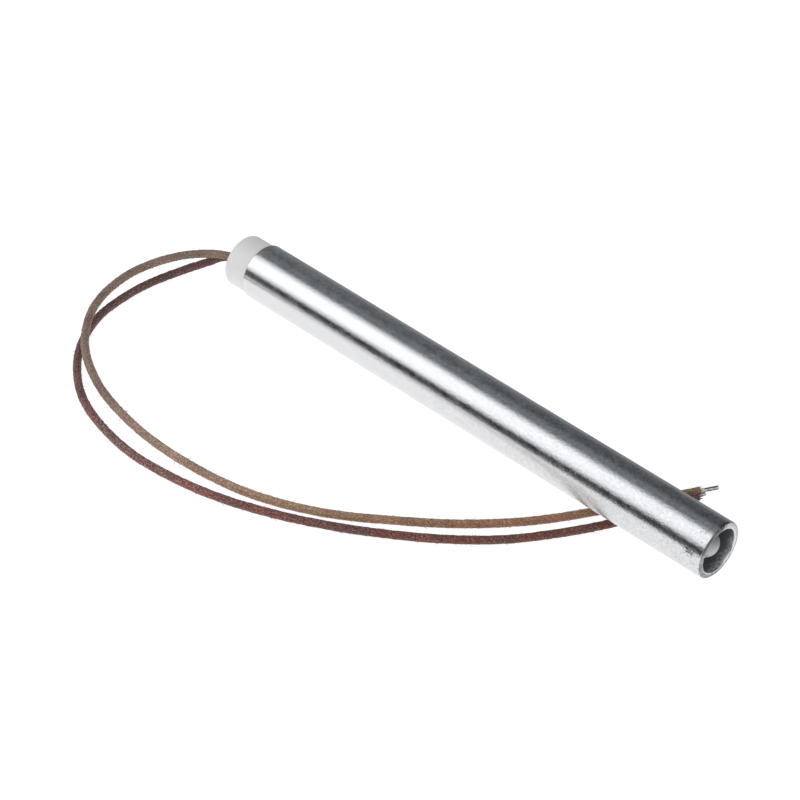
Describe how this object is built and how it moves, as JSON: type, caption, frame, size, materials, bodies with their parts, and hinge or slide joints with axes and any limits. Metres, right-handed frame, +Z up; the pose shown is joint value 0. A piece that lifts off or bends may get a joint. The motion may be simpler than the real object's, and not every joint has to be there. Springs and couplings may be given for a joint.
{
  "type": "cartridge heater",
  "caption": "Steel cartridge heater for a bored block: a plain tube with a ceramic lead cap, two fibre-covered leads and a rounded ceramic nose set in an open end.",
  "frame": {"origin": "on the sheath's axis, at the sheath's lead-end face where the ceramic cap seats", "axes": "+X along the sheath to its open end, +Z up; the table that the leads lie on slopes down about 1.4 degrees towards +X, because they pass under the sheath and prop it up"},
  "size_m": [0.1889, 0.0983, 0.0193],
  "materials": {
    "sheath_steel": "bright ground",
    "cap_ceramic": "matt",
    "cement": "matt",
    "spacer_ceramic": "matt",
    "core_ceramic": "matt",
    "resistance_wire": "drawn",
    "packed_oxide": "packed powder",
    "pin_metal": "drawn",
    "crimp_metal": "dull",
    "nose_ceramic": "matt",
    "disc_steel": "heat darkened",
    "tan_fibre": "braided glass fibre",
    "maroon_fibre": "braided glass fibre",
    "plated_wire": "plated"
  },
  "bodies": {
    "root": {"sheath": "sheath_steel", "lead_cap": "cap_ceramic", "cement_plug": "cement", "lead_spacer": "spacer_ceramic", "core_1": "core_ceramic", "core_2": "core_ceramic", "core_3": "core_ceramic", "core_4": "core_ceramic", "core_5": "core_ceramic", "heating_coil": "resistance_wire", "oxide_fill": "packed_oxide", "terminal_pin_1": "pin_metal", "terminal_pin_2": "pin_metal", "crimp_1": "crimp_metal", "crimp_2": "crimp_metal", "end_spacer": "spacer_ceramic", "nose_plug": "nose_ceramic", "end_disc": "disc_steel", "tan_lead": "tan_fibre", "maroon_lead": "maroon_fibre", "tan_conductor": "plated_wire", "maroon_conductor": "plated_wire"}
  },
  "joints": []
}
